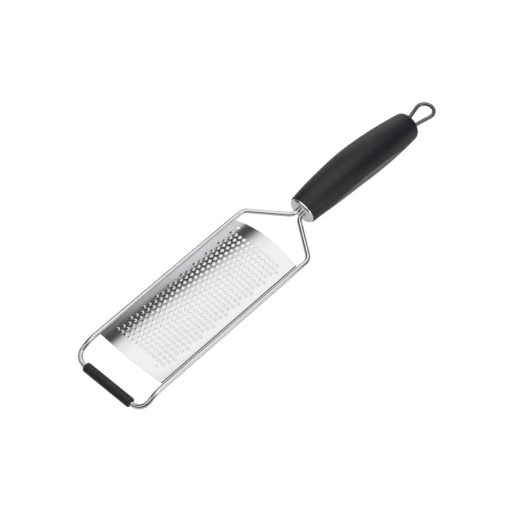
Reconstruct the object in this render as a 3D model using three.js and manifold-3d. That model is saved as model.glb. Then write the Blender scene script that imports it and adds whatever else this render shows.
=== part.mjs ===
import * as THREE from "three";
import { mergeVertices } from "three/addons/utils/BufferGeometryUtils.js";
import Module from "manifold-3d";

// A fine grater: an etched blade arched between the rails of a bent wire frame,
// a rubber-sleeved foot bar in front and a soft round handle with a hanging loop behind.
// Millimetres, X along the length toward the handle, Y across, Z up.

// Blade
const BLADE_LENGTH = 131;
const BLADE_WIDTH = 58.6;
const BLADE_THICKNESS = 0.45;
const BLADE_RISE = 4.3;
const BLADE_END_BOW = 2.6;

// Teeth
const TOOTH_ROWS = 28;
const TEETH_PER_ROW = 12;
const END_MARGIN = 8;
const SIDE_MARGIN = 5;
const TOOTH_HOLE_SHARE = 0.52;
const TOOTH_RISE = 0.6;
const ROWS_PER_STEP = 3;
const LOCATING_HOLE = 2.4;
const HOLE_FROM_FRONT = 5.8;
const HOLE_FROM_REAR = 4.2;
const HOLE_FROM_LEFT = 8.3;
const HOLE_FROM_RIGHT = 10.7;

// Frame wire
const WIRE = 3.5;
const FOOT_REACH = 21.3;
const FOOT_BEND = 7.5;
const FOOT_TILT = 27.5;
const FOOT_BEND_RADIUS = 18;
const FOOT_CORNER_RADIUS = 8.5;
const SHOULDER_SETBACK = 11.1;
const SHOULDER_ANGLE = 53.8;
const SHOULDER_RADIUS = 8;
const NECK_GAP = 1.4;
const NECK_RADIUS = 7;
const NECK_RISE = 0.9;
const NECK_LENGTH = 4.7;
const TANG_DEPTH = 28;

// Foot sleeve
const SLEEVE_WALL = 1.6;
const SLEEVE_END_GAP = 1.2;
const SLEEVE_ROUND = 1.1;

// Handle
const HANDLE_LENGTH = 113.1;
const HANDLE_RISE = 8;
const HANDLE_FRONT = 21.9;
const HANDLE_BELLY = 28.5;
const HANDLE_REAR = 21.3;
const BELLY_AT = 0.54;
const REAR_ROUND = 3.5;
const FRONT_ROUND = 0.4;
const DROOP_ANGLE = 6.8;
const DROOP_AT = 0.355;
const DROOP_RADIUS = 115;
const FLAT_DEPTH = 1;
const FLAT_LEAN = 15;
const FLAT_FOLLOW = 0.65;
const CORE_SHARE = 0.74;
const REAR_WALL = 5;

// Ferrule
const FERRULE_INSET = 0.7;
const FERRULE_THICKNESS = 2;
const FERRULE_ROUND = 1.6;
const SPIGOT_DEPTH = 3;

// Hanging loop
const LOOP_WIRE = 2.8;
const LOOP_RADIUS = 6.6;
const LOOP_REACH = 26.2;
const LOOP_LIFT = 7;
const LOOP_LEG_GAP = 3;
const LOOP_LEG_DEPTH = 14;
const LOOP_LEG_RADIUS = 4;

// Clearances
const WELD_GAP = 0.2;
const FIT_GAP = 0.25;

// Sizes that follow from these
const WIRE_R = WIRE / 2;
const BLADE_HALF = BLADE_WIDTH / 2;
const RAIL_Y = BLADE_HALF + 0.48 * WIRE;
const SEAT_Z = Math.sqrt((WIRE_R + WELD_GAP) ** 2 - (RAIL_Y - BLADE_HALF) ** 2);
const ARCH_R = (BLADE_HALF ** 2 + BLADE_RISE ** 2) / (2 * BLADE_RISE);
const FOOT_DROP = (FOOT_REACH - FOOT_BEND) * Math.tan(THREE.MathUtils.degToRad(FOOT_TILT));
const NECK_Y = WIRE_R + NECK_GAP / 2;
const SHOULDER_X = BLADE_LENGTH + SHOULDER_SETBACK;
const NECK_X = SHOULDER_X + (RAIL_Y - NECK_Y) / Math.tan(THREE.MathUtils.degToRad(SHOULDER_ANGLE));
const RISE = THREE.MathUtils.degToRad(HANDLE_RISE);
const HEAD = new THREE.Matrix4().makeRotationY(-RISE).setPosition(NECK_X, 0, NECK_RISE);
const HANDLE_FROM = NECK_LENGTH + FERRULE_THICKNESS + FIT_GAP;
const FERRULE_R = HANDLE_FRONT / 2 - FERRULE_INSET;
const CORE_LENGTH = HANDLE_LENGTH - REAR_WALL;
const SPIGOT_R = NECK_Y + WIRE_R + 2.2;
const LOOP_R = LOOP_WIRE / 2;
const LOOP_LEG_Y = LOOP_R + LOOP_LEG_GAP / 2;

const wasm = await Module();
wasm.setup();

// Turns a closed geometry into a solid for cutting.
function solid(geometry) {
  const plain = geometry.index ? geometry.toNonIndexed() : geometry.clone();
  plain.deleteAttribute("normal");
  plain.deleteAttribute("uv");
  const merged = mergeVertices(plain, 1e-3);
  const mesh = new wasm.Mesh({
    numProp: 3,
    vertProperties: merged.attributes.position.array,
    triVerts: new Uint32Array(merged.index.array),
  });
  return new wasm.Manifold(mesh);
}

// Turns a cut solid back into a geometry.
function geometryOf(body) {
  const mesh = body.getMesh();
  const geometry = new THREE.BufferGeometry();
  geometry.setAttribute("position", new THREE.BufferAttribute(mesh.vertProperties, 3));
  geometry.setIndex(new THREE.BufferAttribute(mesh.triVerts, 1));
  return geometry;
}

// A curve through given points, sampled exactly at them.
class PointPath extends THREE.Curve {
  constructor(points) {
    super();
    this.points = points;
  }

  getPointAt(t) {
    return this.points[Math.round(t * (this.points.length - 1))].clone();
  }

  getTangentAt(t) {
    const i = Math.round(t * (this.points.length - 1));
    const before = this.points[Math.max(0, i - 1)];
    const after = this.points[Math.min(this.points.length - 1, i + 1)];
    const into = this.points[i].clone().sub(before).normalize();
    const out = after.clone().sub(this.points[i]).normalize();
    return into.add(out).normalize();
  }
}

// Points along a bent wire: straight runs between corners, each corner rounded to its radius.
function bentPoints(corners, stepDegrees) {
  const points = [corners[0].at];
  for (let i = 1; i < corners.length - 1; i++) {
    const at = corners[i].at;
    const back = corners[i - 1].at.clone().sub(at).normalize();
    const on = corners[i + 1].at.clone().sub(at).normalize();
    const turn = Math.PI - back.angleTo(on);
    const reach = corners[i].radius * Math.tan(turn / 2);
    const middle = back.clone().add(on).normalize();
    const centre = at.clone().addScaledVector(middle, corners[i].radius / Math.cos(turn / 2));
    const first = at.clone().addScaledVector(back, reach).sub(centre);
    const axis = back.clone().negate().cross(on).normalize();
    const steps = Math.max(2, Math.ceil(THREE.MathUtils.radToDeg(turn) / stepDegrees));
    for (let k = 0; k <= steps; k++) {
      points.push(first.clone().applyAxisAngle(axis, (turn * k) / steps).add(centre));
    }
  }
  points.push(corners[corners.length - 1].at);
  return points;
}

// A round wire swept along points.
function wireGeometry(points, radius, sides) {
  const outline = [];
  for (let i = 0; i < sides; i++) {
    const angle = (2 * Math.PI * i) / sides;
    outline.push(new THREE.Vector2(radius * Math.cos(angle), radius * Math.sin(angle)));
  }
  return new THREE.ExtrudeGeometry(new THREE.Shape(outline), {
    steps: points.length - 1,
    extrudePath: new PointPath(points),
  });
}

// A quarter round from one direction to another, as profile points.
function roundPoints(x, y, radius, from, to, steps) {
  const points = [];
  for (let i = 0; i <= steps; i++) {
    const angle = THREE.MathUtils.degToRad(from + ((to - from) * i) / steps);
    points.push(new THREE.Vector2(x + radius * Math.cos(angle), y + radius * Math.sin(angle)));
  }
  return points;
}

// A round bar along X between two stations, as a solid set in a frame.
function barAlongX(radius, from, to, y, frame) {
  const bar = new THREE.CylinderGeometry(radius, radius, to - from, 16);
  bar.rotateZ(Math.PI / 2).translate((from + to) / 2, y, 0);
  return solid(bar.applyMatrix4(frame));
}

// Frame wire
function frameCorners(side) {
  return [
    { at: new THREE.Vector3(HANDLE_FROM + TANG_DEPTH, side * NECK_Y, 0).applyMatrix4(HEAD) },
    { at: new THREE.Vector3(NECK_X, side * NECK_Y, NECK_RISE), radius: NECK_RADIUS },
    { at: new THREE.Vector3(SHOULDER_X, side * RAIL_Y, 0), radius: SHOULDER_RADIUS },
    { at: new THREE.Vector3(-FOOT_BEND, side * RAIL_Y, 0), radius: FOOT_BEND_RADIUS },
    { at: new THREE.Vector3(-FOOT_REACH, side * RAIL_Y, -FOOT_DROP), radius: FOOT_CORNER_RADIUS },
  ];
}
const frameGeometry = wireGeometry(
  bentPoints([...frameCorners(1), ...frameCorners(-1).reverse()], 9),
  WIRE_R,
  12,
);

// Foot sleeve
function sleeveGeometry() {
  const bore = WIRE_R + FIT_GAP;
  const outer = bore + SLEEVE_WALL;
  const half = RAIL_Y - FOOT_CORNER_RADIUS - SLEEVE_END_GAP;
  const profile = [
    new THREE.Vector2(bore, half),
    new THREE.Vector2(bore, -half),
    ...roundPoints(outer - SLEEVE_ROUND, -half + SLEEVE_ROUND, SLEEVE_ROUND, -90, 0, 4),
    ...roundPoints(outer - SLEEVE_ROUND, half - SLEEVE_ROUND, SLEEVE_ROUND, 0, 90, 4),
    new THREE.Vector2(bore, half),
  ];
  return new THREE.LatheGeometry(profile, 24).translate(-FOOT_REACH, 0, -FOOT_DROP);
}

// Blade: a sheet of cells, each with one pierced tooth, thickened and bent to the arch.
const ROW_PITCH = (BLADE_LENGTH - 2 * END_MARGIN) / TOOTH_ROWS;
const TOOTH_PITCH = (BLADE_WIDTH - 2 * SIDE_MARGIN) / (TEETH_PER_ROW + (ROWS_PER_STEP - 1) / ROWS_PER_STEP);

function archHeight(y) {
  return Math.sqrt(ARCH_R ** 2 - y ** 2) - ARCH_R + BLADE_RISE;
}

// Bow of the end edges in plan at a place across the blade.
function endBow(y) {
  return BLADE_END_BOW * (1 - (y / BLADE_HALF) ** 2);
}

function bladeGeometry() {
  const spots = [];
  const faces = [];
  const add = (x, y, lift = 0) => spots.push({ x, y, lift }) - 1;

  // Corner of the cells: column boundaries lean by one part of a pitch with every row.
  const corner = new Map();
  function cellCorner(column, row) {
    const key = column + "," + row;
    if (!corner.has(key)) {
      const y = BLADE_HALF - SIDE_MARGIN - TOOTH_PITCH * (column + row / ROWS_PER_STEP);
      corner.set(key, add(END_MARGIN + ROW_PITCH * row, y));
    }
    return corner.get(key);
  }

  // Joins two chains of points that run the same way into a strip, taking the nearer next point each time.
  function zip(left, right) {
    let i = 0;
    let k = 0;
    while (i < left.length - 1 || k < right.length - 1) {
      const nextLeft = i < left.length - 1 ? left[i + 1].along : Infinity;
      const nextRight = k < right.length - 1 ? right[k + 1].along : Infinity;
      if (nextLeft <= nextRight) {
        faces.push([left[i].spot, right[k].spot, left[i + 1].spot]);
        i++;
      } else {
        faces.push([left[i].spot, right[k].spot, right[k + 1].spot]);
        k++;
      }
    }
  }

  // One cell: a ring of faces round the pierced hole, whose rear lip stands up.
  function toothCell(a, b, c, d) {
    const mid = { x: 0, y: 0 };
    for (const i of [a, b, c, d]) {
      mid.x += spots[i].x / 4;
      mid.y += spots[i].y / 4;
    }
    const halfX = (ROW_PITCH * TOOTH_HOLE_SHARE) / 2;
    const halfY = (TOOTH_PITCH * TOOTH_HOLE_SHARE) / 2;
    const hole = [
      add(mid.x - halfX, mid.y + halfY),
      add(mid.x - halfX, mid.y - halfY),
      add(mid.x + halfX, mid.y - 0.8 * halfY, TOOTH_RISE),
      add(mid.x + halfX, mid.y + 0.8 * halfY, TOOTH_RISE),
    ];
    const ring = [a, b, c, d];
    for (let i = 0; i < 4; i++) {
      const j = (i + 1) % 4;
      faces.push([ring[i], ring[j], hole[i]]);
      faces.push([ring[j], hole[j], hole[i]]);
    }
  }

  // Tooth field, with the chains of its left and right borders.
  const leftBorder = [];
  const rightBorder = [];
  for (let row = 0; row < TOOTH_ROWS; row++) {
    const first = -Math.floor(row / ROWS_PER_STEP);
    const last = first + TEETH_PER_ROW;
    for (let column = first; column < last; column++) {
      const frontLeft = cellCorner(column, row);
      const frontRight = cellCorner(column + 1, row);
      const rearRight = cellCorner(column + 1, row + 1);
      const rearLeft = cellCorner(column, row + 1);
      toothCell(frontLeft, frontRight, rearRight, rearLeft);
    }
    const stepped = row % ROWS_PER_STEP === 0;
    if (stepped) {
      const wait = row ? ROWS_PER_STEP / 2 + 0.1 : 0;
      leftBorder.push({ spot: cellCorner(first, row), along: row });
      rightBorder.push({ spot: cellCorner(last, row), along: row + wait });
    }
    leftBorder.push({ spot: cellCorner(first, row + 1), along: row + 1 });
    rightBorder.push({ spot: cellCorner(last, row + 1), along: row + 1 });
  }

  // Plain margins at the sides, with a point beside the middle of every step of rows.
  function sideChain(side) {
    const rows = [0];
    for (let row = ROWS_PER_STEP / 2; row < TOOTH_ROWS; row += ROWS_PER_STEP) rows.push(row);
    rows.push(TOOTH_ROWS);
    return rows.map((row) => ({ spot: add(END_MARGIN + ROW_PITCH * row, side * BLADE_HALF), along: row }));
  }
  const leftSide = sideChain(1);
  const rightSide = sideChain(-1);
  zip(leftSide, leftBorder);
  zip(rightBorder, rightSide);

  // Plain margins at the two bowed ends.
  const acrossFrom = (spot) => ({ spot, along: -spots[spot].y });
  function endChain(x, outward) {
    const chain = [];
    for (let i = 0; i <= TEETH_PER_ROW; i++) {
      const y = BLADE_HALF * (1 - (2 * i) / TEETH_PER_ROW);
      chain.push(acrossFrom(add(x + outward * endBow(y), y)));
    }
    return chain;
  }
  function rowChain(row, line, end) {
    const first = -Math.floor(row / ROWS_PER_STEP);
    const chain = [leftSide.at(end).spot];
    for (let column = first; column <= first + TEETH_PER_ROW; column++) {
      chain.push(cellCorner(column, line));
    }
    chain.push(rightSide.at(end).spot);
    return chain.map(acrossFrom);
  }
  zip(rowChain(0, 0, 0), endChain(0, -1));
  zip(endChain(BLADE_LENGTH, 1), rowChain(TOOTH_ROWS - 1, TOOTH_ROWS, -1));

  // Two skins, one a sheet thickness above the other, and walls along every open edge.
  const lower = spots.map((s) => [s.x, s.y, SEAT_Z + archHeight(s.y) + s.lift]);
  const upper = lower.map(([x, y, z]) => [x, y, z + BLADE_THICKNESS]);
  const count = spots.length;
  const index = [];
  const edges = new Set();
  for (const [a, b, c] of faces) {
    index.push(count + a, count + b, count + c, a, c, b);
    edges.add(a + "," + b).add(b + "," + c).add(c + "," + a);
  }
  for (const edge of edges) {
    const [a, b] = edge.split(",").map(Number);
    if (!edges.has(b + "," + a)) {
      index.push(a, b, count + b, a, count + b, count + a);
    }
  }
  const geometry = new THREE.BufferGeometry();
  geometry.setAttribute("position", new THREE.Float32BufferAttribute([...lower, ...upper].flat(), 3));
  geometry.setIndex(index);

  // Three round locating holes in the plain margins.
  let body = solid(geometry);
  const holeSpots = [
    [HOLE_FROM_FRONT, HOLE_FROM_RIGHT - BLADE_HALF],
    [BLADE_LENGTH - HOLE_FROM_REAR, HOLE_FROM_RIGHT - BLADE_HALF],
    [BLADE_LENGTH - HOLE_FROM_REAR, BLADE_HALF - HOLE_FROM_LEFT],
  ];
  for (const [x, y] of holeSpots) {
    const drill = new THREE.CylinderGeometry(LOCATING_HOLE / 2, LOCATING_HOLE / 2, 6, 16);
    drill.rotateX(Math.PI / 2).translate(x, y, SEAT_Z + archHeight(y));
    body = body.subtract(solid(drill));
  }
  return geometryOf(body);
}

// Handle line: it leaves the ferrule on a rise, bends level, and bends again to a straight drooping tail.
const DROOP = THREE.MathUtils.degToRad(DROOP_ANGLE);
const LEVEL_FROM = DROOP_RADIUS * RISE;
const DROOP_FROM = HANDLE_LENGTH * DROOP_AT;
const HANDLE_RUNS = [
  { length: LEVEL_FROM, turn: RISE },
  { length: DROOP_FROM - LEVEL_FROM, turn: 0 },
  { length: DROOP_RADIUS * DROOP, turn: DROOP },
  { length: Infinity, turn: 0 },
];

// Place and downward slope of the handle line at a distance behind the grip's front end.
function handleLine(s) {
  const at = new THREE.Vector3(HANDLE_FROM + Math.min(s, 0), 0, 0).applyMatrix4(HEAD);
  let slope = -RISE;
  let left = Math.max(s, 0);
  for (const run of HANDLE_RUNS) {
    const go = Math.min(left, run.length);
    if (run.turn) {
      const next = slope + go / DROOP_RADIUS;
      at.x += DROOP_RADIUS * (Math.sin(next) - Math.sin(slope));
      at.z += DROOP_RADIUS * (Math.cos(next) - Math.cos(slope));
      slope = next;
    } else {
      at.x += go * Math.cos(slope);
      at.z -= go * Math.sin(slope);
    }
    left -= go;
    if (left <= 0) break;
  }
  return { x: at.x, z: at.z, slope };
}

// Turns a profile of distance and radius round the handle line.
function turnedOnLine(profile, sides) {
  const lathe = new THREE.LatheGeometry(profile.map(([s, r]) => new THREE.Vector2(r, s)), sides);
  const at = lathe.attributes.position;
  for (let i = 0; i < at.count; i++) {
    const { x, z, slope } = handleLine(at.getY(i));
    const rise = at.getX(i);
    const place = [x + rise * Math.sin(slope), at.getZ(i), z + rise * Math.cos(slope)];
    at.setXYZ(i, ...place);
  }
  return lathe;
}

// Radius of the grip: swells to the belly and narrows again behind it.
function gripRadius(s) {
  const belly = HANDLE_LENGTH * BELLY_AT;
  const ahead = s < belly;
  const t = ahead ? 1 - s / belly : (s - belly) / (HANDLE_LENGTH - belly);
  const end = ahead ? HANDLE_FRONT : HANDLE_REAR;
  const power = ahead ? 1.9 : 1.8;
  return (HANDLE_BELLY - (HANDLE_BELLY - end) * t ** power) / 2;
}

function roundedBody(length, radiusAt, frontRound, rearRound, rings) {
  const profile = [[0, 0]];
  for (const p of roundPoints(frontRound, radiusAt(frontRound) - frontRound, frontRound, 180, 90, 3)) {
    profile.push([p.x, p.y]);
  }
  for (let i = 1; i < rings; i++) {
    const s = frontRound + ((length - rearRound - frontRound) * i) / rings;
    profile.push([s, radiusAt(s)]);
  }
  const shoulder = length - rearRound;
  for (const p of roundPoints(shoulder, radiusAt(shoulder) - rearRound, rearRound, 90, 0, 6)) {
    profile.push([p.x, p.y]);
  }
  profile.push([length, 0]);
  return profile;
}

const CORE_R = (HANDLE_FRONT / 2) * CORE_SHARE;
const TAIL = handleLine(HANDLE_LENGTH);
const TAIL_FRAME = new THREE.Matrix4().makeRotationY(TAIL.slope).setPosition(TAIL.x, 0, TAIL.z);

// Cutters for the loop legs at the end of the tail.
function legCutters() {
  const from = -LOOP_LEG_DEPTH - FIT_GAP;
  return [1, -1].map((side) => barAlongX(LOOP_R + FIT_GAP, from, 2, side * LOOP_LEG_Y, TAIL_FRAME));
}

// Cutters for the two tangs of the frame wire.
function tangCutters() {
  const to = HANDLE_FROM + TANG_DEPTH + FIT_GAP;
  return [1, -1].map((side) => barAlongX(WIRE_R + FIT_GAP, 0, to, side * NECK_Y, HEAD));
}

// Side flats lie along the chord of the belly and lean a little toward the underside.
const FLAT_MIDDLE = handleLine(HANDLE_LENGTH * BELLY_AT);
const FLAT_REST = HANDLE_BELLY / 2 - FLAT_DEPTH;

function flatCutter(side) {
  const box = new THREE.BoxGeometry(HANDLE_LENGTH, HANDLE_BELLY, 2 * HANDLE_BELLY);
  box.translate(0, side * (FLAT_REST + HANDLE_BELLY / 2), 0);
  box.rotateX(-side * THREE.MathUtils.degToRad(FLAT_LEAN));
  box.rotateY(DROOP * FLAT_FOLLOW);
  return solid(box.translate(FLAT_MIDDLE.x, 0, FLAT_MIDDLE.z));
}

function gripGeometry() {
  const outside = roundedBody(HANDLE_LENGTH, gripRadius, FRONT_ROUND, REAR_ROUND, 20);
  let body = solid(turnedOnLine(outside, 40));
  const hollow = [
    [-5, 0],
    [-5, CORE_R + FIT_GAP],
    ...coreStations().map((s) => [s, CORE_R + FIT_GAP]),
    [CORE_LENGTH + FIT_GAP, CORE_R + FIT_GAP],
    [CORE_LENGTH + FIT_GAP, 0],
  ];
  body = body.subtract(solid(turnedOnLine(hollow, 28)));
  for (const leg of legCutters()) body = body.subtract(leg);
  for (const side of [1, -1]) body = body.subtract(flatCutter(side));
  return geometryOf(body);
}

// Ring stations of the core: along both bends of the handle line.
function coreStations() {
  const stations = [];
  for (const [from, turn] of [[0, RISE], [DROOP_FROM, DROOP]]) {
    for (let i = 0; i <= 4; i++) stations.push(from + (DROOP_RADIUS * turn * i) / 4);
  }
  return stations;
}

function coreGeometry() {
  const outside = [[0, 0], ...coreStations().map((s) => [s, CORE_R]), [CORE_LENGTH, CORE_R], [CORE_LENGTH, 0]];
  let body = solid(turnedOnLine(outside, 28));
  const socketEnd = HANDLE_FROM + SPIGOT_DEPTH + FIT_GAP;
  const socket = barAlongX(SPIGOT_R + FIT_GAP, HANDLE_FROM - 1, socketEnd, 0, HEAD);
  for (const cutter of [socket, ...tangCutters(), ...legCutters()]) body = body.subtract(cutter);
  return geometryOf(body);
}

// Ferrule: a flat polished disc with a rounded rim in front of the grip, and a spigot behind it.
function ferruleGeometry() {
  const profile = [
    new THREE.Vector2(0, 0),
    ...roundPoints(FERRULE_R - FERRULE_ROUND, FERRULE_ROUND, FERRULE_ROUND, -90, 0, 6),
    new THREE.Vector2(FERRULE_R, FERRULE_THICKNESS),
    new THREE.Vector2(SPIGOT_R, FERRULE_THICKNESS),
    new THREE.Vector2(SPIGOT_R, FERRULE_THICKNESS + SPIGOT_DEPTH),
    new THREE.Vector2(0, FERRULE_THICKNESS + SPIGOT_DEPTH),
  ];
  const lathe = new THREE.LatheGeometry(profile, 40).rotateZ(-Math.PI / 2);
  let body = solid(lathe.translate(NECK_LENGTH, 0, 0).applyMatrix4(HEAD));
  for (const tang of tangCutters()) body = body.subtract(tang);
  return geometryOf(body);
}

// Hanging loop: two legs out of the handle end, spreading to a round eye.
function loopGeometry() {
  const centre = LOOP_REACH - LOOP_R - LOOP_RADIUS;
  const bend = LOOP_R;
  const away = Math.hypot(centre - bend, LOOP_LEG_Y);
  const lean = Math.asin(LOOP_RADIUS / away) - Math.atan2(LOOP_LEG_Y, centre - bend);
  const tip = centre + LOOP_RADIUS;
  const lift = (tip - bend) * Math.tan(THREE.MathUtils.degToRad(LOOP_LIFT));
  const half = (side) => [
    { at: new THREE.Vector3(-LOOP_LEG_DEPTH, side * LOOP_LEG_Y, 0) },
    { at: new THREE.Vector3(bend, side * LOOP_LEG_Y, 0), radius: LOOP_LEG_RADIUS },
    { at: new THREE.Vector3(tip, side * (LOOP_LEG_Y + (tip - bend) * Math.tan(lean)), lift), radius: LOOP_RADIUS },
  ];
  return wireGeometry(bentPoints([...half(1), ...half(-1).reverse()], 12), LOOP_R, 10);
}

// Materials and meshes
function piece(name, geometry, colour, roughness, metalness) {
  const material = new THREE.MeshStandardMaterial({ color: colour, roughness, metalness });
  const mesh = new THREE.Mesh(geometry, material);
  mesh.name = name;
  return mesh;
}

const sleeve = piece("foot_sleeve", sleeveGeometry(), 0x2d2d30, 0.75, 0);
const grip = piece("handle_grip", gripGeometry(), 0x303033, 0.6, 0);

const tail = new THREE.Group();
tail.position.set(TAIL.x, 0, TAIL.z);
tail.rotation.y = TAIL.slope;
tail.add(piece("hanging_loop", loopGeometry(), 0x55555a, 0.3, 1));

const tool = new THREE.Group();
tool.add(piece("frame_wire", frameGeometry, 0xd6d7da, 0.15, 1));
tool.add(piece("blade", bladeGeometry(), 0xdfe0e2, 0.35, 1));
tool.add(sleeve);
tool.add(piece("ferrule", ferruleGeometry(), 0xd0d1d6, 0.15, 1));
tool.add(piece("handle_core", coreGeometry(), 0x3a3a3c, 0.5, 0));
tool.add(grip);
tool.add(tail);

// Lowest point of a mesh when the tool is tipped by an angle about Y.
function lowest(mesh, angle) {
  const at = mesh.geometry.attributes.position;
  let low = Infinity;
  for (let i = 0; i < at.count; i++) {
    low = Math.min(low, at.getZ(i) * Math.cos(angle) - at.getX(i) * Math.sin(angle));
  }
  return low;
}

// The tool rests on its foot sleeve and on the underside of its handle.
let tip = -0.2;
let tipEnd = 0.2;
for (let i = 0; i < 40; i++) {
  const middle = (tip + tipEnd) / 2;
  if (lowest(grip, middle) > lowest(sleeve, middle)) tip = middle;
  else tipEnd = middle;
}
tool.rotation.y = tip;

const grater = new THREE.Group();
grater.add(tool);
grater.updateMatrixWorld(true);
const box = new THREE.Box3().setFromObject(grater, true);
tool.position.set(-(box.min.x + box.max.x) / 2, -(box.min.y + box.max.y) / 2, -box.min.z);

export default grater;
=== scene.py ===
import math
import bpy
from mathutils import Matrix, Vector


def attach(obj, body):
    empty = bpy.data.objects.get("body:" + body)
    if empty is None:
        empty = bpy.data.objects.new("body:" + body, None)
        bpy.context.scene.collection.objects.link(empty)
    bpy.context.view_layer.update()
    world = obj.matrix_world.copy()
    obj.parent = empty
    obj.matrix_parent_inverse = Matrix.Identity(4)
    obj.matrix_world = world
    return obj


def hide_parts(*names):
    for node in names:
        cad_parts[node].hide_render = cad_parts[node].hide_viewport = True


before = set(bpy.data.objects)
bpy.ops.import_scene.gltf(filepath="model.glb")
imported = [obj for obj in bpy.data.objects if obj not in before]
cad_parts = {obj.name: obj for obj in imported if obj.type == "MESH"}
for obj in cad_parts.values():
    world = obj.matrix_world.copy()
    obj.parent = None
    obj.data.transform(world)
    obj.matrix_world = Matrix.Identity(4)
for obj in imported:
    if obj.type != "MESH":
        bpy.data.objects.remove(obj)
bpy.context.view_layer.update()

# Sizes in metres: X runs from the blade's front corners towards the handle, Y across, Z up
MM = 0.001
LEAST_STEP = 2e-6
X_AXIS = Vector((1, 0, 0))
Y_AXIS = Vector((0, 1, 0))
Z_AXIS = Vector((0, 0, 1))
ORIGIN = Vector((0, 0, 0))

# Blade, an arch with a tighter bend along each side
BLADE_LENGTH = 131 * MM
BLADE_HALF = 29.3 * MM
BLADE_THICKNESS = 0.45 * MM
BLADE_RISE = 4.3 * MM
BLADE_END_BOW = 2.6 * MM
ARCH_R = 110.2 * MM
EDGE_FROM = 28.465 * MM
EDGE_BEND_R = 1.1 * MM
EDGE_TURN = math.radians(60)
EDGE_FOLDS = 5
# Where the painted shade on the blade's right-hand (-Y) rolled edge begins
PAINTED_EDGE_SHADE_FROM = EDGE_FROM + 0.27 * MM
SHEET_HALF = EDGE_FROM + EDGE_BEND_R * EDGE_TURN
SEAT_Z = 0.99 * MM
LOCATING_HOLE_R = 1.2 * MM
LOCATING_HOLES = [
    (5.8 * MM, -18.6 * MM),
    (126.8 * MM, -18.6 * MM),
    (126.8 * MM, 21.0 * MM),
]

# Teeth
TOOTH_ROWS = 28
TEETH_PER_ROW = 12
ROWS_PER_STEP = 3
SPARE_CELLS = 3
TOOTH_SIDES = 16
RING_GROWTH = 1.4
END_MARGIN = 8 * MM
SIDE_MARGIN = 5 * MM
ROW_PITCH = (BLADE_LENGTH - 2 * END_MARGIN) / TOOTH_ROWS
STEP_SHARE = (ROWS_PER_STEP - 1) / ROWS_PER_STEP
TOOTH_PITCH = (2 * BLADE_HALF - 2 * SIDE_MARGIN) / (TEETH_PER_ROW + STEP_SHARE)
TOOTH_R = 1.45 * MM
TOOTH_BACK = 0.25 * MM
TOOTH_SLOPE = math.tan(math.radians(7))
TONGUE_EDGE = 0.25 * TOOTH_R
HOLE_X = 0.05 * MM
HOLE_R = 1.37 * MM
HOLE_INNER = 0.35 * MM
HOLE_TURN = math.pi / 8

# Frame wire
WIRE_R = 1.75 * MM
RAIL_Y = 30.98 * MM
FOOT_REACH = 21.3 * MM
FOOT_BEND = 7.5 * MM
FOOT_DROP = 7.184 * MM
FOOT_CORNER_R = 8.5 * MM
FOOT_BEND_R = 18 * MM
SHOULDER_X = 142.1 * MM
SHOULDER_R = 8 * MM
NECK_X = 162.98 * MM
NECK_Y = 2.45 * MM
NECK_R = 7 * MM
NECK_RISE = 0.9 * MM
NECK_LENGTH = 4.7 * MM
TANG_DEPTH = 28 * MM

# Foot sleeve
SLEEVE_HALF = 21.28 * MM
SLEEVE_R = 3.6 * MM
SLEEVE_ROUND = 1.1 * MM
SLEEVE_BORE_R = 2.0 * MM
SLEEVE_BORE_SHOWN = 3 * MM

# Handle
HANDLE_RISE = math.radians(8)
HANDLE_FROM = 6.95 * MM
HANDLE_LENGTH = 113.1 * MM
BEND_RADIUS = 115 * MM
DROOP = math.radians(6.8)
DROOP_FROM = 0.355 * HANDLE_LENGTH
BELLY = 0.54 * HANDLE_LENGTH
GRIP_FRONT = 10.95 * MM
GRIP_BELLY = 14.25 * MM
GRIP_REAR = 10.65 * MM
FRONT_SWELL = 1.9
REAR_SWELL = 1.8
FRONT_ROUND = 0.4 * MM
REAR_ROUND = 3.5 * MM
GRIP_BORE_R = 8.35 * MM
GRIP_BORE_SHOWN = 2 * MM
GRIP_RUNS = 44
FLAT_Y = 13.1 * MM
FLAT_LEAN = math.radians(11)
FLAT_FOLLOW = 0.65
FLAT_CUTTER_Y = 28 * MM
FLAT_CUTTER_Z = 56 * MM
ON_FLAT = 0.005 * MM

# Ferrule
FERRULE_R = 10.25 * MM
FERRULE_RIM = 1.6 * MM
FERRULE_THICKNESS = 2.0 * MM
SPIGOT_R = 6.4 * MM
SPIGOT_DEPTH = 3 * MM
FIT_GAP = 0.25 * MM

# Hanging loop
LOOP_R = 1.4 * MM
EYE_R = 6.6 * MM
EYE_X = 18.2 * MM
EYE_RISE = math.tan(math.radians(7))
LEG_Y = 2.9 * MM
LEG_DEPTH = 14 * MM
LEG_BEND_R = 4 * MM

# How the tool lies on the floor, tipped a little by its foot
TIP = -0.01569056
PLACE = Vector((-142.0130, 0, 11.1167)) * MM
TOOL = Matrix.Translation(PLACE) @ Matrix.Rotation(TIP, 4, "Y")
HEAD = Matrix.Translation((NECK_X, 0, NECK_RISE)) @ Matrix.Rotation(-HANDLE_RISE, 4, "Y")


# Small helpers for working in edit mode
def start_ring(name, centre, facing, radius, sides):
    bpy.ops.object.select_all(action="DESELECT")
    turn = Z_AXIS.rotation_difference(Vector(facing)).to_euler()
    bpy.ops.mesh.primitive_circle_add(
        vertices=sides, radius=radius, location=centre, rotation=turn
    )
    ring = bpy.context.object
    ring.name = name
    bpy.ops.object.transform_apply(location=True, rotation=True, scale=True)
    bpy.ops.object.mode_set(mode="EDIT")
    bpy.ops.mesh.select_mode(type="VERT")
    bpy.ops.mesh.select_all(action="SELECT")
    return ring


def run(step):
    if Vector(step).length > LEAST_STEP / 2:
        bpy.ops.mesh.extrude_region_move(TRANSFORM_OT_translate={"value": Vector(step)})


def widen(factor, centre):
    bpy.ops.transform.resize(value=(factor, factor, factor), center_override=centre)


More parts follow.
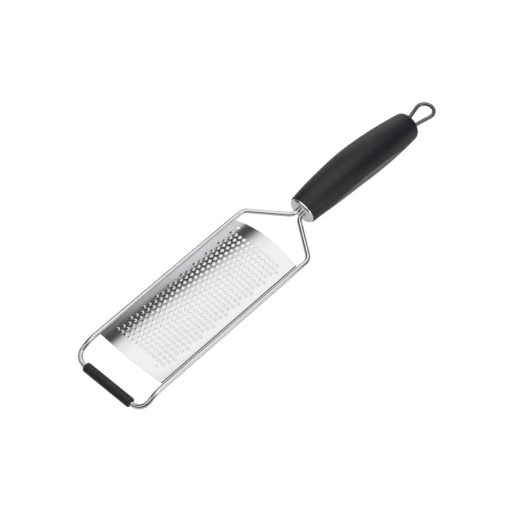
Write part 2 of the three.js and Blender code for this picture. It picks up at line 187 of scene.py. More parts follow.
# Draws a ring out along an axis, through pairs of a distance and a radius
def draw_rings(axis, base, here, size, profile):
    for distance, radius in profile:
        distance = max(distance, here + LEAST_STEP)
        run(axis * (distance - here))
        widen(radius / size, base + axis * distance)
        here, size = distance, radius
    return here, size


# Steps round a quarter circle: how far along, and how far in from the full size
def quarter_round(radius, steps):
    angles = [math.pi / 2 * i / steps for i in range(steps + 1)]
    return [(radius * (1 - math.cos(a)), radius * (1 - math.sin(a))) for a in angles]


def finish_mesh(smooth_angle):
    bpy.ops.mesh.select_all(action="SELECT")
    bpy.ops.mesh.remove_doubles(threshold=1e-6)
    bpy.ops.mesh.normals_make_consistent(inside=False)
    bpy.ops.mesh.select_all(action="DESELECT")
    bpy.ops.object.mode_set(mode="OBJECT")
    smooth(bpy.context.object, smooth_angle)


def choose(piece):
    bpy.ops.object.select_all(action="DESELECT")
    piece.select_set(True)
    bpy.context.view_layer.objects.active = piece


def smooth(piece, angle):
    choose(piece)
    bpy.ops.object.shade_smooth_by_angle(angle=math.radians(angle))


def apply_modifier(piece, kind, **settings):
    choose(piece)
    modifier = piece.modifiers.new(kind.title(), kind)
    for key, value in settings.items():
        setattr(modifier, key, value)
    bpy.ops.object.modifier_apply(modifier=modifier.name)


def mirror_across(piece):
    bpy.ops.object.mode_set(mode="OBJECT")
    apply_modifier(piece, "MIRROR", use_axis=(False, True, False), merge_threshold=1e-6)
    bpy.ops.object.mode_set(mode="EDIT")


def cut_with(piece, cutter):
    apply_modifier(piece, "BOOLEAN", operation="DIFFERENCE", solver="EXACT", object=cutter)
    bpy.data.objects.remove(cutter)


def pick_faces(piece, test):
    choose(piece)
    bpy.ops.object.mode_set(mode="EDIT")
    bpy.ops.mesh.select_mode(type="FACE")
    bpy.ops.mesh.select_all(action="DESELECT")
    bpy.ops.object.mode_set(mode="OBJECT")
    for face in piece.data.polygons:
        face.select = test(face)
    bpy.ops.object.mode_set(mode="EDIT")


def paint_picked(piece, index):
    piece.active_material_index = index
    bpy.ops.object.material_slot_assign()
    bpy.ops.mesh.select_all(action="DESELECT")
    bpy.ops.object.mode_set(mode="OBJECT")


def move_by(piece, matrix):
    choose(piece)
    piece.matrix_world = matrix
    bpy.ops.object.transform_apply(location=True, rotation=True, scale=True)


def join_all(pieces, name):
    bpy.ops.object.select_all(action="DESELECT")
    for piece in pieces:
        piece.select_set(True)
    bpy.context.view_layer.objects.active = pieces[0]
    bpy.ops.object.join()
    pieces[0].name = name
    return pieces[0]


def bar(name, radius, start, end, sides=24):
    ring = start_ring(name, start, Vector(end) - Vector(start), radius, sides)
    bpy.ops.mesh.edge_face_add()
    run(Vector(end) - Vector(start))
    finish_mesh(30)
    return ring


# A wire drawn out from a ring: straight runs, with each corner bent round its own centre
def bent_wire(name, corners, radius, sides, step_degrees=5):
    points = [Vector(corner[:3]) for corner in corners]
    wire = start_ring(name, points[0], points[1] - points[0], radius, sides)
    here = points[0]
    for i in range(1, len(points) - 1):
        back = (points[i - 1] - points[i]).normalized()
        on = (points[i + 1] - points[i]).normalized()
        turn = math.pi - back.angle(on)
        bend = corners[i][3]
        reach = bend * math.tan(turn / 2)
        run(points[i] + back * reach - here)
        centre = points[i] + (back + on).normalized() * bend / math.cos(turn / 2)
        axis = on.cross(-back).normalized()
        steps = max(3, math.ceil(math.degrees(turn) / step_degrees))
        bpy.ops.mesh.spin(steps=steps, angle=turn, center=centre, axis=axis)
        here = points[i] + on * reach
    run(points[-1] - here)
    return wire


# Frame wire: half of it, from the middle of the foot bar to the end of a tang, then mirrored
tang_end = HEAD @ Vector((HANDLE_FROM + TANG_DEPTH, NECK_Y, 0))
frame_wire = bent_wire(
    "bent_wire",
    [
        (-FOOT_REACH, 0, -FOOT_DROP, 0),
        (-FOOT_REACH, RAIL_Y, -FOOT_DROP, FOOT_CORNER_R),
        (-FOOT_BEND, RAIL_Y, 0, FOOT_BEND_R),
        (SHOULDER_X, RAIL_Y, 0, SHOULDER_R),
        (NECK_X, NECK_Y, NECK_RISE, NECK_R),
        (*tang_end, 0),
    ],
    WIRE_R,
    32,
)
bpy.ops.mesh.edge_face_add()
mirror_across(frame_wire)
finish_mesh(40)
move_by(frame_wire, TOOL)


# Foot sleeve: a soft tube on the foot bar, its ends rounded over
foot = Vector((-FOOT_REACH, 0, -FOOT_DROP))
bore_end = foot + Y_AXIS * (SLEEVE_BORE_SHOWN - SLEEVE_HALF)
sleeve = start_ring("soft_sleeve", bore_end, Y_AXIS, SLEEVE_BORE_R, 48)
run(Y_AXIS * -SLEEVE_BORE_SHOWN)
sleeve_profile = [
    (-SLEEVE_HALF + along, SLEEVE_R - inward)
    for along, inward in quarter_round(SLEEVE_ROUND, 8)
]
rounded_to, _ = draw_rings(Y_AXIS, foot, -SLEEVE_HALF, SLEEVE_BORE_R, sleeve_profile)
run(Y_AXIS * -rounded_to)
mirror_across(sleeve)
finish_mesh(40)
move_by(sleeve, TOOL)


# Blade: one pierced tooth and one blank cell, copied into rows, trimmed, arched and thickened
def arched(y):
    flat = min(abs(y), EDGE_FROM)
    slope = math.asin(flat / ARCH_R)
    turn = slope + max(0, abs(y) - EDGE_FROM) / EDGE_BEND_R
    out = flat + EDGE_BEND_R * (math.sin(turn) - math.sin(slope))
    up = ARCH_R * (math.cos(slope) - 1) + EDGE_BEND_R * (math.cos(turn) - math.cos(slope))
    return math.copysign(out, y), BLADE_RISE + up


# A point of a cell from its place in a square of two by two, leaning with the step of the rows
def cell_place(p, q):
    lean = p * TOOTH_PITCH / (2 * ROWS_PER_STEP)
    return Vector((p * ROW_PITCH / 2, q * TOOTH_PITCH / 2 - lean, 0))


def on_square(k):
    side = [(1, 0), (1, 0.5), (1, 1), (0.5, 1)]
    p, q = side[k % 4]
    for turn in range(k // 4):
        p, q = -q, p
    return p, q


def soft_step(t):
    t = min(1, max(0, t))
    return t * t * (3 - 2 * t)


def tongue(x, y):
    side = soft_step((TOOTH_R - abs(y)) / TONGUE_EDGE)
    return TOOTH_SLOPE * (x + TOOTH_R + TOOTH_BACK) * side


# Rings of the tooth, from inside out: the hole, the tongue, its outline and the cell's edge
HOLE_RING, OUTLINE_RING, CELL_RING = 0, 2, 3
tooth = start_ring("tooth", ORIGIN, Z_AXIS, 1, TOOTH_SIDES)
for ring in range(CELL_RING):
    bpy.ops.mesh.extrude_region_move()
    widen(RING_GROWTH, ORIGIN)
bpy.ops.mesh.select_all(action="DESELECT")
bpy.ops.object.mode_set(mode="OBJECT")
for vertex in tooth.data.vertices:
    ring = round(math.log(vertex.co.length, RING_GROWTH))
    angle = math.atan2(vertex.co.y, vertex.co.x)
    if ring == CELL_RING:
        vertex.co = cell_place(*on_square(round(angle * TOOTH_SIDES / math.tau) % TOOTH_SIDES))
        continue
    c, s = math.cos(angle), math.sin(angle)
    ahead, aside = math.cos(angle - HOLE_TURN), math.sin(angle - HOLE_TURN)
    reach = HOLE_R * ahead if ahead > 0 else -HOLE_INNER * ahead
    hole = Vector((HOLE_X + reach, HOLE_R * aside, 0))
    hole.rotate(Matrix.Rotation(HOLE_TURN, 3, "Z"))
    outline = Vector((TOOTH_R * c - TOOTH_BACK * max(0, -c), TOOTH_R * s, 0))
    vertex.co = hole.lerp(outline, (ring - HOLE_RING) / (OUTLINE_RING - HOLE_RING))
    behind = soft_step(0.5 - 2 * ahead)
    on_outline = ring == OUTLINE_RING
    vertex.co.z = 0 if on_outline else behind * tongue(vertex.co.x, vertex.co.y)
    vertex.select = on_outline
bpy.ops.object.mode_set(mode="EDIT")
bpy.ops.mesh.select_mode(type="VERT")
bpy.ops.mesh.select_mode(use_extend=False, use_expand=False, type="EDGE")
bpy.ops.mesh.mark_sharp()
bpy.ops.object.mode_set(mode="OBJECT")

bpy.ops.object.select_all(action="DESELECT")
bpy.ops.mesh.primitive_grid_add(x_subdivisions=4, y_subdivisions=4, size=2)
blank = bpy.context.object
blank.name = "blank"
for vertex in blank.data.vertices:
    vertex.co = cell_place(vertex.co.x, vertex.co.y)


def strip_of(cell, count, first):
    choose(cell)
    bpy.ops.object.duplicate()
    strip = bpy.context.object
    strip.data.transform(Matrix.Translation((0, -first * TOOTH_PITCH, 0)))
    apply_modifier(
        strip,
        "ARRAY",
        count=count,
        use_relative_offset=False,
        use_constant_offset=True,
        constant_offset_displace=(0, -TOOTH_PITCH, 0),
    )
    return strip


row_strip = join_all(
    [
        strip_of(tooth, TEETH_PER_ROW, 0),
        strip_of(blank, SPARE_CELLS, -SPARE_CELLS),
        strip_of(blank, SPARE_CELLS, TEETH_PER_ROW),
    ],
    "row",
)
blank_strip = strip_of(blank, TEETH_PER_ROW + 2 * SPARE_CELLS, -SPARE_CELLS)
rows = []
for row in range(-SPARE_CELLS, TOOTH_ROWS + SPARE_CELLS):
    choose(row_strip if 0 <= row < TOOTH_ROWS else blank_strip)
    bpy.ops.object.duplicate()
    x = END_MARGIN + ROW_PITCH * (row + 0.5)
    shift = (row % ROWS_PER_STEP + 0.5) / ROWS_PER_STEP
    y = BLADE_HALF - SIDE_MARGIN - TOOTH_PITCH * (0.5 + shift)
    bpy.ops.transform.translate(value=(x, y, 0))
    rows.append(bpy.context.object)
blade = join_all(rows, "toothed_sheet")
bpy.ops.object.transform_apply(location=True, rotation=True, scale=True)
for part in (tooth, blank, row_strip, blank_strip):
    bpy.data.objects.remove(part)

# Trim the sheet to its outline, and add lines where its side edges fold
bpy.ops.object.mode_set(mode="EDIT")
bpy.ops.mesh.select_all(action="SELECT")
bpy.ops.mesh.remove_doubles(threshold=2e-6)
for limit, facing in (
    (Y_AXIS * SHEET_HALF, Y_AXIS),
    (Y_AXIS * -SHEET_HALF, -Y_AXIS),
    (ORIGIN, -X_AXIS),
    (X_AXIS * BLADE_LENGTH, X_AXIS),
):
    bpy.ops.mesh.select_all(action="SELECT")
    bpy.ops.mesh.bisect(plane_co=limit, plane_no=facing, clear_outer=True)
for side in (1, -1):
    for i in range(EDGE_FOLDS):
        fold = EDGE_FROM + (SHEET_HALF - EDGE_FROM) * i / EDGE_FOLDS
        bpy.ops.mesh.select_all(action="SELECT")
        bpy.ops.mesh.bisect(plane_co=(0, side * fold, 0), plane_no=(0, side, 0))
bpy.ops.mesh.select_all(action="SELECT")
bpy.ops.mesh.normals_make_consistent(inside=False)
bpy.ops.object.mode_set(mode="OBJECT")
if sum(face.normal.z for face in blade.data.polygons) < 0:
    bpy.ops.object.mode_set(mode="EDIT")
    bpy.ops.mesh.flip_normals()
    bpy.ops.object.mode_set(mode="OBJECT")

# Arch the sheet, bow its ends, thicken it and drill the locating holes
for vertex in blade.data.vertices:
    x, y, z = vertex.co
    across, up = arched(y)
    bow = BLADE_END_BOW * (1 - (across / BLADE_HALF) ** 2)
    front = max(0, 1 - x / END_MARGIN)
    rear = max(0, 1 - (BLADE_LENGTH - x) / END_MARGIN)
    vertex.co = (x + bow * (rear - front), across, z + SEAT_Z + BLADE_THICKNESS + up)
apply_modifier(blade, "SOLIDIFY", thickness=BLADE_THICKNESS, offset=-1)
drills = []
for x, y in LOCATING_HOLES:
    z = arched(y)[1]
    drills.append(bar("drill", LOCATING_HOLE_R, (x, y, z - 3 * MM), (x, y, z + 5 * MM)))
cut_with(blade, join_all(drills, "drills"))
smooth(blade, 38)
move_by(blade, TOOL)


# Handle line: rises from the ferrule, bends level, then droops to the tail
def handle_line(s):
    start = HEAD @ Vector((HANDLE_FROM, 0, 0))
    x, z, slope = start.x, start.z, -HANDLE_RISE
    level = BEND_RADIUS * HANDLE_RISE
    runs = [
        (level, True),
        (DROOP_FROM - level, False),
        (BEND_RADIUS * DROOP, True),
        (1, False),
    ]
    left = s
    for length, turns in runs:
        go = min(left, length)
        if turns:
            after = slope + go / BEND_RADIUS
            x += BEND_RADIUS * (math.sin(after) - math.sin(slope))
            z += BEND_RADIUS * (math.cos(after) - math.cos(slope))
            slope = after
        else:
            x += go * math.cos(slope)
            z -= go * math.sin(slope)
        left -= go
    return x, z, slope


def grip_radius(s):
    s = min(max(s, FRONT_ROUND), HANDLE_LENGTH - REAR_ROUND)
    if s < BELLY:
        return GRIP_BELLY - (GRIP_BELLY - GRIP_FRONT) * (1 - s / BELLY) ** FRONT_SWELL
    share = (s - BELLY) / (HANDLE_LENGTH - BELLY)
    return GRIP_BELLY - (GRIP_BELLY - GRIP_REAR) * share ** REAR_SWELL


tail_x, tail_z, tail_slope = handle_line(HANDLE_LENGTH)
TAIL = Matrix.Translation((tail_x, 0, tail_z)) @ Matrix.Rotation(tail_slope, 4, "Y")


# Grip: rings drawn out along X and swelled, then laid along the handle line
stations = [(along, inward) for along, inward in quarter_round(FRONT_ROUND, 5)]
straight = HANDLE_LENGTH - FRONT_ROUND - REAR_ROUND
stations += [(FRONT_ROUND + straight * i / GRIP_RUNS, 0) for i in range(1, GRIP_RUNS)]
stations += [(HANDLE_LENGTH - short, inward) for inward, short in quarter_round(REAR_ROUND, 10)]
grip_profile = [(s, grip_radius(s) - inward) for s, inward in stations]
grip = start_ring("shaped_grip", X_AXIS * GRIP_BORE_SHOWN, X_AXIS, GRIP_BORE_R, 72)
run(X_AXIS * -GRIP_BORE_SHOWN)
here, size = draw_rings(X_AXIS, ORIGIN, 0, GRIP_BORE_R, grip_profile)
for share in (0.8, 0.6, 0.4, 0.2):
    bpy.ops.mesh.extrude_region_move()
    radius = share * (grip_radius(HANDLE_LENGTH) - REAR_ROUND)
    widen(radius / size, X_AXIS * here)
    size = radius
bpy.ops.mesh.edge_face_add()
finish_mesh(40)
for vertex in grip.data.vertices:
    x, z, slope = handle_line(max(vertex.co.x, 0))
    off = vertex.co.z
    vertex.co = (x + off * math.sin(slope), vertex.co.y, z + off * math.cos(slope))


# Flats along the grip's sides, and the two holes for the loop's legs
def flat_frame(side):
    x, z, _ = handle_line(BELLY)
    follow = Matrix.Rotation(FLAT_FOLLOW * DROOP, 4, "Y")
    return Matrix.Translation((x, 0, z)) @ follow @ Matrix.Rotation(-side * FLAT_LEAN, 4, "X")


def on_flat(face):
    return any(
        abs((flat_frame(side).inverted() @ face.center).y - side * FLAT_Y) < ON_FLAT
        for side in (1, -1)
    )


for side in (1, -1):
    bpy.ops.object.select_all(action="DESELECT")
    bpy.ops.mesh.primitive_cube_add(size=1)
    cutter = bpy.context.object
    outside = Matrix.Translation((0, side * (FLAT_Y + FLAT_CUTTER_Y / 2), 0))
    block = Matrix.Diagonal((HANDLE_LENGTH, FLAT_CUTTER_Y, FLAT_CUTTER_Z, 1))
    move_by(cutter, flat_frame(side) @ outside @ block)
    cut_with(grip, cutter)
for side in (1, -1):
    leg = bar("leg", LOOP_R + FIT_GAP, (-4 * MM, side * LEG_Y, 0), (3 * MM, side * LEG_Y, 0))
    move_by(leg, TAIL)
    cut_with(grip, leg)
pick_faces(grip, on_flat)
bpy.ops.mesh.region_to_loop()
bpy.ops.mesh.mark_sharp()
bpy.ops.object.mode_set(mode="OBJECT")
pick_faces(grip, on_flat)
grip.data.materials.append(None)
grip.data.materials.append(None)
paint_picked(grip, 1)
smooth(grip, 22)
move_by(grip, TOOL)


# Ferrule: a flat disc with a rounded rim and a spigot behind it, bored for the two wire ends
face_r = FERRULE_R - FERRULE_RIM
ferrule = start_ring("end_disc", X_AXIS * NECK_LENGTH, X_AXIS, face_r, 96)
bpy.ops.mesh.edge_face_add()
rim_profile = [
    (NECK_LENGTH + along, FERRULE_R - inward)
    for along, inward in quarter_round(FERRULE_RIM, 10)[1:]
]
here, size = draw_rings(X_AXIS, ORIGIN, NECK_LENGTH, face_r, rim_profile)
ferrule_back = NECK_LENGTH + FERRULE_THICKNESS
run(X_AXIS * (ferrule_back - here))
bpy.ops.mesh.extrude_region_move()
widen(SPIGOT_R / size, X_AXIS * ferrule_back)
run(X_AXIS * SPIGOT_DEPTH)
finish_mesh(40)
bores = [
    bar(
        "bore",
        WIRE_R + FIT_GAP,
        (0, side * NECK_Y, 0),
        (NECK_LENGTH + 6 * MM, side * NECK_Y, 0),
        32,
    )
    for side in (1, -1)
]
for bore in bores:
    cut_with(ferrule, bore)
smooth(ferrule, 40)
move_by(ferrule, TOOL @ HEAD)


# Hanging loop: two legs that spread to an eye, which lifts a little
eye_reach = EYE_X - LOOP_R
spread = math.asin(EYE_R / math.hypot(eye_reach, LEG_Y)) - math.atan2(LEG_Y, eye_reach)
eye_tip = EYE_X + EYE_R
eye_corner = LEG_Y + (eye_tip - LOOP_R) * math.tan(spread)
eye_lift = (eye_tip - LOOP_R) * EYE_RISE
loop = bent_wire(
    "wire_eye",
    [
        (-LEG_DEPTH, LEG_Y, 0, 0),
        (LOOP_R, LEG_Y, 0, LEG_BEND_R),
        (eye_tip, eye_corner, eye_lift, EYE_R),
        (eye_tip, -eye_corner, eye_lift, EYE_R),
        (LOOP_R, -LEG_Y, 0, LEG_BEND_R),
        (-LEG_DEPTH, -LEG_Y, 0, 0),
    ],
    LOOP_R,
    24,
)
finish_mesh(40)
move_by(loop, TOOL @ TAIL)


# Shared surface effects
def new_group(name, inputs, outputs):
    group = bpy.data.node_groups.new(name, "ShaderNodeTree")
    for label, kind, value in inputs:
        socket = group.interface.new_socket(label, in_out="INPUT", socket_type=kind)
        if value is not None:
            socket.default_value = value
    for label, kind in outputs:
        group.interface.new_socket(label, in_out="OUTPUT", socket_type=kind)
    return group, group.nodes.new("NodeGroupInput"), group.nodes.new("NodeGroupOutput")


def noise_node(tree, detail, rough):
    node = tree.nodes.new("ShaderNodeTexNoise")
    node.inputs["Detail"].default_value = detail
    node.inputs["Roughness"].default_value = rough
    return node


grain, g_in, g_out = new_group(
    "surface grain",
    [
        ("Vector", "NodeSocketVector", None),
        ("Scale", "NodeSocketFloat", 800.0),
        ("Low", "NodeSocketFloat", 0.2),
        ("High", "NodeSocketFloat", 0.3),
    ],
    [("Roughness", "NodeSocketFloat"), ("Height", "NodeSocketFloat")],
)
fine = noise_node(grain, 3.0, 0.55)
rough_range = grain.nodes.new("ShaderNodeMapRange")
rough_range.inputs["From Min"].default_value = 0.3
rough_range.inputs["From Max"].default_value = 0.7
grain.links.new(g_in.outputs["Vector"], fine.inputs["Vector"])
grain.links.new(g_in.outputs["Scale"], fine.inputs["Scale"])
grain.links.new(fine.outputs["Fac"], rough_range.inputs["Value"])
grain.links.new(g_in.outputs["Low"], rough_range.inputs["To Min"])
grain.links.new(g_in.outputs["High"], rough_range.inputs["To Max"])
grain.links.new(rough_range.outputs["Result"], g_out.inputs["Roughness"])
grain.links.new(fine.outputs["Fac"], g_out.inputs["Height"])

# The colour sockets of a Mix node share their names with its other kinds, so they go by number
MIX_FIRST, MIX_SECOND, MIX_RESULT = 6, 7, 2
mottle, m_in, m_out = new_group(
    "colour mottle",
    [
        ("Vector", "NodeSocketVector", None),
        ("Scale", "NodeSocketFloat", 60.0),
        ("First", "NodeSocketColor", (0.5, 0.5, 0.5, 1)),
        ("Second", "NodeSocketColor", (0.6, 0.6, 0.6, 1)),
    ],
    [("Color", "NodeSocketColor")],
)
broad = noise_node(mottle, 4.0, 0.5)
mix = mottle.nodes.new("ShaderNodeMix")
mix.data_type = "RGBA"
mottle.links.new(m_in.outputs["Vector"], broad.inputs["Vector"])
mottle.links.new(m_in.outputs["Scale"], broad.inputs["Scale"])
mottle.links.new(broad.outputs["Fac"], mix.inputs["Factor"])
mottle.links.new(m_in.outputs["First"], mix.inputs[MIX_FIRST])
mottle.links.new(m_in.outputs["Second"], mix.inputs[MIX_SECOND])
mottle.links.new(mix.outputs[MIX_RESULT], m_out.inputs["Color"])

BUMP_HEIGHT = 0.1 * MM
METAL, NO_METAL = 1, 0


# A material from two colours, a range of roughness, a grain size and a bump
def surface(name, first, second, metallic, rough, grain_scale, bump, stretch=(1, 1, 1)):
    material = bpy.data.materials.new(name)
    material.use_nodes = True
    tree = material.node_tree
    shader = tree.nodes["Principled BSDF"]
    shader.inputs["Metallic"].default_value = metallic
    place = tree.nodes.new("ShaderNodeTexCoord")
    mapping = tree.nodes.new("ShaderNodeMapping")
    mapping.inputs["Scale"].default_value = stretch
    tree.links.new(place.outputs["Object"], mapping.inputs["Vector"])
    colour = tree.nodes.new("ShaderNodeGroup")
    colour.node_tree = mottle
    colour.inputs["First"].default_value = (*first, 1)
    colour.inputs["Second"].default_value = (*second, 1)
    finish = tree.nodes.new("ShaderNodeGroup")
    finish.node_tree = grain
    finish.inputs["Scale"].default_value = grain_scale
    finish.inputs["Low"].default_value = rough[0]
    finish.inputs["High"].default_value = rough[1]
    relief = tree.nodes.new("ShaderNodeBump")
    relief.inputs["Strength"].default_value = bump
    relief.inputs["Distance"].default_value = BUMP_HEIGHT
    tree.links.new(mapping.outputs["Vector"], colour.inputs["Vector"])
    tree.links.new(mapping.outputs["Vector"], finish.inputs["Vector"])
    tree.links.new(colour.outputs["Color"], shader.inputs["Base Color"])
    tree.links.new(finish.outputs["Roughness"], shader.inputs["Roughness"])
    tree.links.new(finish.outputs["Height"], relief.inputs["Height"])
    tree.links.new(relief.outputs["Normal"], shader.inputs["Normal"])
    return material


polished = surface(
    "polished wire", (0.80, 0.79, 0.77), (0.85, 0.84, 0.82), METAL, (0.03, 0.05), 900, 0.005
)
sheet = surface(
    "blade steel",
    (0.815, 0.807, 0.80),
    (0.845, 0.837, 0.83),
    METAL,
    (0.10, 0.13),
    1500,
    0.006,
    stretch=(0.2, 1, 1),
)
# Dark colour painted on the blade's right-hand rolled edge: painted shade for the dark seam beside
# the rail
painted_edge_shade = surface(
    "blade edge painted shade", (0.10, 0.09, 0.08), (0.14, 0.12, 0.11), METAL, (0.45, 0.55), 1500, 0.03
)
plate = surface(
    "ferrule steel", (0.95, 0.95, 0.97), (0.98, 0.98, 1.0), METAL, (0.16, 0.22), 1200, 0.02
)
dull_wire = surface(
    "loop steel", (0.21, 0.21, 0.212), (0.25, 0.25, 0.252), METAL, (0.34, 0.40), 900, 0.03
)
soft_grip = surface(
    "soft grip",
    (0.0155, 0.0167, 0.0205),
    (0.0195, 0.0210, 0.0255),
    NO_METAL,
    (0.37, 0.43),
    2600,
    0.12,
)
smooth_grip = surface(
    "grip flat", (0.034, 0.035, 0.039), (0.040, 0.041, 0.046), NO_METAL, (0.14, 0.20), 2600, 0.06
)
rubber = surface(
    "sleeve rubber",
    (0.032, 0.032, 0.036),
    (0.038, 0.038, 0.042),
    NO_METAL,
    (0.45, 0.55),
    2200,
    0.15,
)
plastic = surface(
    "core plastic", (0.030, 0.030, 0.032), (0.036, 0.036, 0.038), NO_METAL, (0.4, 0.5), 1500, 0.1
)

for piece, node, material, slot in (
    (frame_wire, "frame_wire", polished, "frame_steel"),
    (sleeve, "foot_sleeve", rubber, "sleeve_rubber"),
    (blade, "blade", sheet, "blade_steel"),
    (grip, "handle_grip", soft_grip, "grip_rubber"),
    (ferrule, "ferrule", plate, "ferrule_steel"),
    (loop, "hanging_loop", dull_wire, "loop_steel"),
):
    if not piece.data.materials:
        piece.data.materials.append(material)
    piece.data.materials[0] = material
    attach(piece, "root")
    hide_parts(node)
# Only the rolled edge on the -Y side gets the dark colour, as painted shade
blade.data.materials.append(painted_edge_shade)
pick_faces(blade, lambda face: face.center.y < -PAINTED_EDGE_SHADE_FROM)
paint_picked(blade, 1)
grip.data.materials[1] = smooth_grip
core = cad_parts["handle_core"]
core.data.materials.clear()
core.data.materials.append(plastic)


# Helpers for the floor and the world
def empty_tree(owner):
    owner.use_nodes = True
    owner.node_tree.nodes.clear()
    return owner.node_tree


def put_in(tree, socket, value):
    if isinstance(value, (int, float)):
        socket.default_value = value
    else:
        tree.links.new(value, socket)


def maths(tree, operation, first, second=0):
    node = tree.nodes.new("ShaderNodeMath")
    node.operation = operation
    put_in(tree, node.inputs[0], first)
    put_in(tree, node.inputs[1], second)
    return node.outputs["Value"]


def ramp(tree, value, start, end, low=0, high=1):
    node = tree.nodes.new("ShaderNodeMapRange")
    node.interpolation_type = "SMOOTHSTEP"
    node.inputs["From Min"].default_value = start
    node.inputs["From Max"].default_value = end
    node.inputs["To Min"].default_value = low
    node.inputs["To Max"].default_value = high
    tree.links.new(value, node.inputs["Value"])
    return node.outputs["Result"]


def plain_grey(tree, level):
    lit = tree.nodes.new("ShaderNodeBsdfDiffuse")
    lit.inputs["Color"].default_value = (level, level, level, 1)
    return lit.outputs["BSDF"]


def glowing_grey(tree, level, glow):
    shine = tree.nodes.new("ShaderNodeEmission")
    put_in(tree, shine.inputs["Strength"], glow)
    both = tree.nodes.new("ShaderNodeAddShader")
    tree.links.new(plain_grey(tree, level), both.inputs[0])
    tree.links.new(shine.outputs["Emission"], both.inputs[1])
    return both.outputs["Shader"]


def background(tree, colour):
    node = tree.nodes.new("ShaderNodeBackground")
    node.inputs["Color"].default_value = (*colour, 1)
    return node.outputs["Background"]


def by_ray(tree, ray, shown, otherwise):
    rays = tree.nodes.new("ShaderNodeLightPath")
    choice = tree.nodes.new("ShaderNodeMixShader")
    tree.links.new(rays.outputs[ray], choice.inputs["Fac"])
    tree.links.new(otherwise, choice.inputs[1])
    tree.links.new(shown, choice.inputs[2])
    return choice.outputs["Shader"]


# Floor: white to the camera, grey in reflections, and it keeps the object's soft shadow
bpy.ops.object.select_all(action="DESELECT")
bpy.ops.mesh.primitive_plane_add(size=6)
floor = bpy.context.object
floor.name = "floor"
paper = bpy.data.materials.new("white floor")
floor_tree = empty_tree(paper)

# Painted shade under the blade: the floor's glow drops in a soft-edged box beneath it, which shows
# only through its holes
PAINTED_SHADE_MIDDLE = -0.069
PAINTED_SHADE_HALF_LENGTH = (0.060, 0.068)
PAINTED_SHADE_HALF_WIDTH = (0.014, 0.030)
PAINTED_SHADE_GLOW, FLOOR_GLOW = 0.76, 0.95
floor_place = floor_tree.nodes.new("ShaderNodeTexCoord")
axes = floor_tree.nodes.new("ShaderNodeSeparateXYZ")
floor_tree.links.new(floor_place.outputs["Object"], axes.inputs["Vector"])
from_middle = maths(floor_tree, "ADD", axes.outputs["X"], -PAINTED_SHADE_MIDDLE)
lengthwise = maths(floor_tree, "ABSOLUTE", from_middle)
sideways = maths(floor_tree, "ABSOLUTE", axes.outputs["Y"])
outside_painted_shade = maths(
    floor_tree,
    "MAXIMUM",
    ramp(floor_tree, lengthwise, *PAINTED_SHADE_HALF_LENGTH),
    ramp(floor_tree, sideways, *PAINTED_SHADE_HALF_WIDTH),
)
# Glow to the camera, lowered under the blade as painted shade
glow_with_painted_shade = ramp(floor_tree, outside_painted_shade, 0, 1, PAINTED_SHADE_GLOW, FLOOR_GLOW)

reflected = by_ray(
    floor_tree,
    "Is Glossy Ray",
    glowing_grey(floor_tree, 0.45, 0.30),
    plain_grey(floor_tree, 0.55),
)
seen = by_ray(floor_tree, "Is Camera Ray", glowing_grey(floor_tree, 0.18, glow_with_painted_shade), reflected)
floor_out = floor_tree.nodes.new("ShaderNodeOutputMaterial")
floor_tree.links.new(seen, floor_out.inputs["Surface"])
floor.data.materials.append(paper)


# Studio: soft lamps overhead in strips that fade out to the rear, and panels around the sides
CEILING = 0.80


def soft_lamp(name, centre, toward, width, height, level, tint=(1, 1, 1), roll=0):
    lamp = bpy.data.lights.new(name, "AREA")
    lamp.shape = "RECTANGLE"
    lamp.size = width
    lamp.size_y = height
    lamp.energy = level * math.pi * width * height
    lamp.color = tint
    holder = bpy.data.objects.new(name, lamp)
    bpy.context.scene.collection.objects.link(holder)
    holder.location = centre
    facing = (Vector(toward) - Vector(centre)).to_track_quat("-Z", "Y").to_matrix()
    holder.rotation_euler = (facing @ Matrix.Rotation(math.radians(roll), 3, "Z")).to_euler()
    return holder


def ceiling_lamp(name, x, y, width, height, level, turn):
    holder = soft_lamp(name, (x, y, CEILING), (x, y, 0), width, height, level)
    holder.rotation_euler = (0, 0, turn)


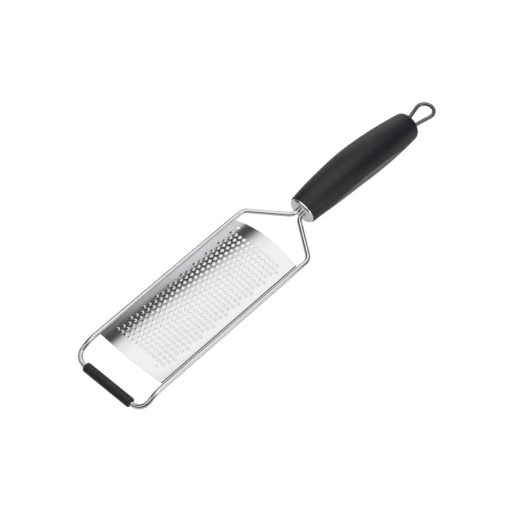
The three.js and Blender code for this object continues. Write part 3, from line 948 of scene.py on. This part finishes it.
STRIP_TURN = math.radians(44)
STRIP_LENGTH = 1.15
STRIP_SHIFT = 0.17
strip_along = Vector((math.cos(STRIP_TURN), math.sin(STRIP_TURN)))
strip_across = Vector((-math.sin(STRIP_TURN), math.cos(STRIP_TURN)))
for near, far, level in (
    (-0.80, 0.10, 0.86),
    (0.10, 0.49, 1.01),
    (0.49, 0.60, 0.94),
    (0.60, 0.67, 0.78),
    (0.67, 0.72, 0.42),
    (0.72, 0.76, 0.12),
):
    middle = strip_along * (near + far) / 2 - strip_across * STRIP_SHIFT
    ceiling_lamp("overhead", *middle, far - near, STRIP_LENGTH, level, STRIP_TURN)
ceiling_lamp("fore panel", -0.803, 0.4557, 0.45, 0.716, 0.91, math.radians(-11))
soft_lamp("rear wall", (0.85, 0.53, 0.42), (0, 0, 0.42), 0.50, 0.84, 0.82)
LEFT_TOWARD = (-0.05, 0.03, 0.55)
LEFT_HEIGHT = 0.42
LEFT_ROLL = 14
COOL = (0.955, 0.955, 1.0)
for name, centre, width, level in (
    ("left panel", (0.5039, 0.8486, 0.55), 0.295, 0.72),
    ("left wing", (0.352, 0.951, 0.55), 0.07, 0.36),
    ("left wall", (0.20, 1.01, 0.55), 0.36, 0.11),
):
    soft_lamp(name, centre, LEFT_TOWARD, width, LEFT_HEIGHT, level, COOL, LEFT_ROLL)
soft_lamp("low panel", (0.62, 0.80, 0.14), (0.1, 0, 0.1), 0.44, 0.24, 0.85)
soft_lamp("front panel", (0.12, -0.72, 0.26), (0.12, 0, 0.2), 0.5, 0.5, 1.0)

# World: white to the camera, a dim room to everything else
world = bpy.data.worlds.new("studio")
bpy.context.scene.world = world
world_tree = empty_tree(world)
white = background(world_tree, (1, 1, 1))
room = background(world_tree, (0.050, 0.051, 0.057))
world_out = world_tree.nodes.new("ShaderNodeOutputWorld")
world_tree.links.new(by_ray(world_tree, "Is Camera Ray", white, room), world_out.inputs["Surface"])


# Camera
lens = bpy.data.cameras.new("camera")
lens.lens = 163.84
lens.sensor_width = 36
lens.clip_end = 20
camera = bpy.data.objects.new("camera", lens)
bpy.context.scene.collection.objects.link(camera)
camera.location = (-0.740707, -0.644819, 1.290374)
camera.rotation_euler = [math.radians(angle) for angle in (37.0159, -0.9278, -46.9603)]
bpy.context.scene.camera = camera
bpy.context.scene.view_settings.view_transform = "Standard"
